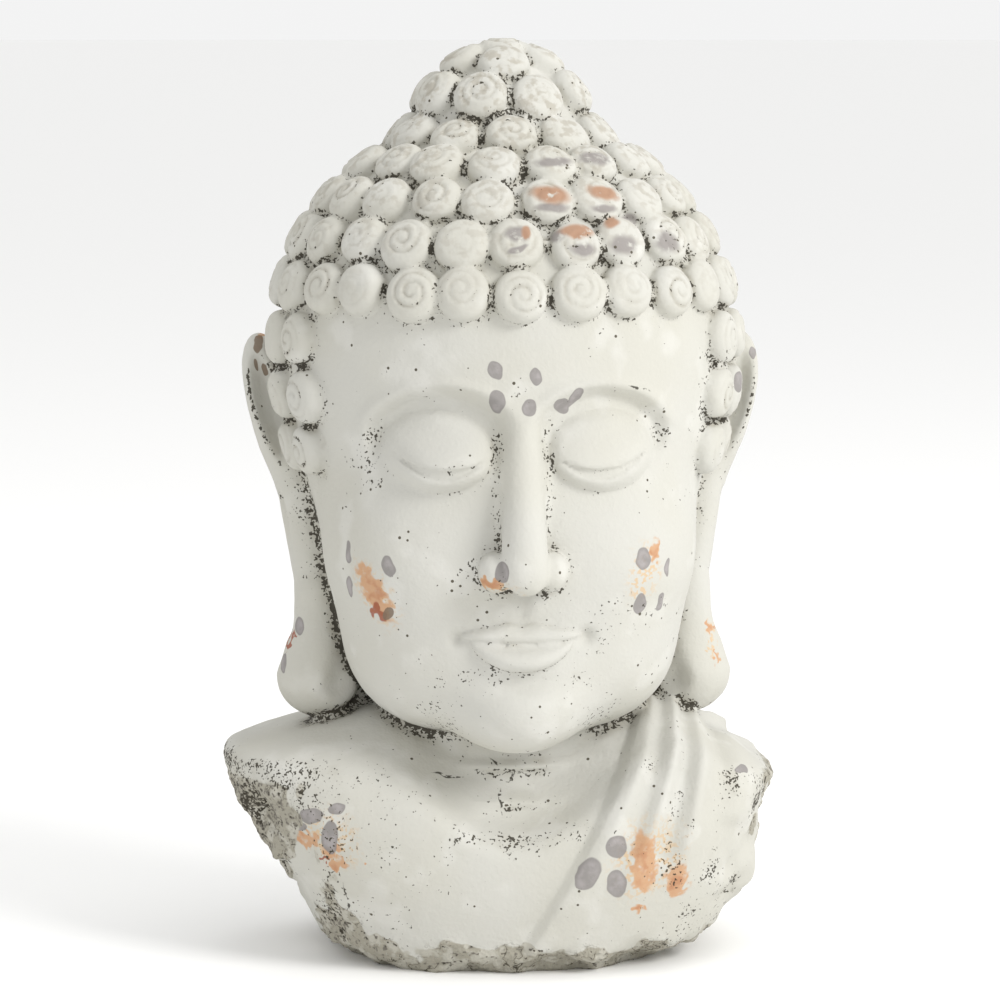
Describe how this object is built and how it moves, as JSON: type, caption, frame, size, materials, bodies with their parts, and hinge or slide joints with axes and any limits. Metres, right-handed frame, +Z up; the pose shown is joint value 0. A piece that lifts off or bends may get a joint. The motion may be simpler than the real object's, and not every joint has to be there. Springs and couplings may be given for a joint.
{
  "type": "buddha head statue",
  "caption": "Garden buddha head on a short bust with rough broken edges, tight curls, long ears and a robe over one shoulder; it stands on its flat underside.",
  "frame": {"origin": "on the flat underside, straight below the middle of the head", "axes": "+Z up through the crown; the face looks along -Y, so the robed shoulder is at +X"},
  "size_m": [0.281, 0.2513, 0.4604],
  "materials": {
    "white_painted_cement": "matt, distressed"
  },
  "bodies": {
    "root": {"buddha_head_bust": "white_painted_cement"}
  },
  "joints": []
}
